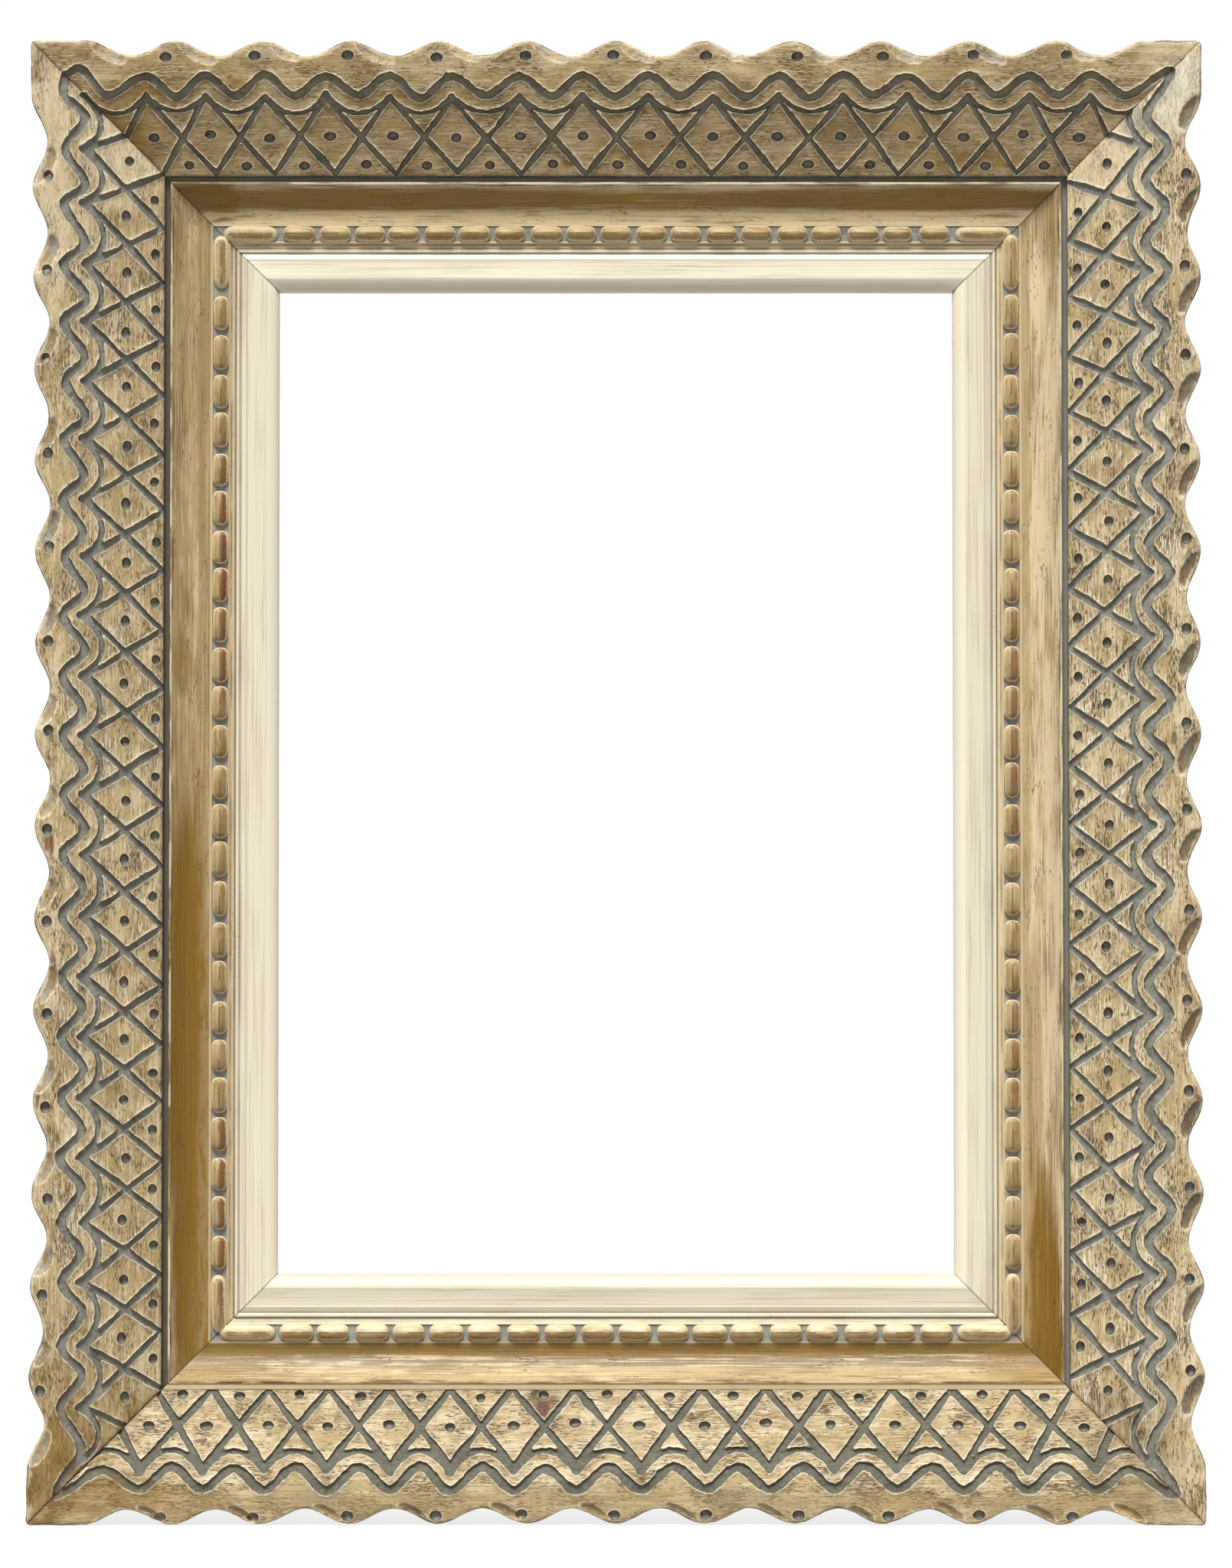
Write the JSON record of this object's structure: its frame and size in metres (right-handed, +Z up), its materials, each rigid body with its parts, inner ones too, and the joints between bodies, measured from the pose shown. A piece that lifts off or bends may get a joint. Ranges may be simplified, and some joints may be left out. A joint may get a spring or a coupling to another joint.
{
  "type": "picture frame",
  "caption": "Upright carved wooden picture frame with a scalloped rim, lattice panel, cove and bead moulding, pale liner and hanging rings on the back.",
  "frame": {"origin": "centre of the picture opening, in the plane of the frame's back", "axes": "+X to the right seen from the front, +Y out of the back towards the wall, +Z up"},
  "size_m": [0.592, 0.0525, 0.748],
  "materials": {
    "carved_wood": "aged gesso and worn silver-gold leaf toned tan, grey paint in the cuts",
    "moulding_wood": "worn gilding toned tan and ochre over gesso",
    "liner_wood": "rubbed ivory and silver, satin",
    "plain_wood": "bare, oiled",
    "nail_steel": "dulled with age",
    "hanger_brass": "tarnished",
    "ring_steel": "dull nickel"
  },
  "bodies": {
    "frame": {"carved_rail_top": "carved_wood", "carved_rail_bottom": "carved_wood", "carved_rail_left": "carved_wood", "carved_rail_right": "carved_wood", "cove_moulding_top": "moulding_wood", "cove_moulding_bottom": "moulding_wood", "cove_moulding_left": "moulding_wood", "cove_moulding_right": "moulding_wood", "liner_rail_top": "liner_wood", "liner_rail_bottom": "liner_wood", "liner_rail_left": "liner_wood", "liner_rail_right": "liner_wood", "mitre_tongue_top_left": "plain_wood", "mitre_tongue_top_right": "plain_wood", "mitre_tongue_bottom_left": "plain_wood", "mitre_tongue_bottom_right": "plain_wood", "corner_nails": "nail_steel", "moulding_pins": "nail_steel", "liner_points": "nail_steel", "hanger_strap_left": "hanger_brass", "hanger_strap_right": "hanger_brass", "hanger_screws": "hanger_brass"},
    "left_ring": {"hanger_ring_left": "ring_steel"},
    "right_ring": {"hanger_ring_right": "ring_steel"}
  },
  "joints": [
    {"name": "left_ring_swing", "type": "hinge", "parent": "frame", "child": "left_ring", "pos_m": [-0.251, 0.004, 0.124], "axis": [1, 0, 0], "range_deg": [0, 188]},
    {"name": "right_ring_swing", "type": "hinge", "parent": "frame", "child": "right_ring", "pos_m": [0.251, 0.004, 0.124], "axis": [1, 0, 0], "range_deg": [0, 188]}
  ]
}
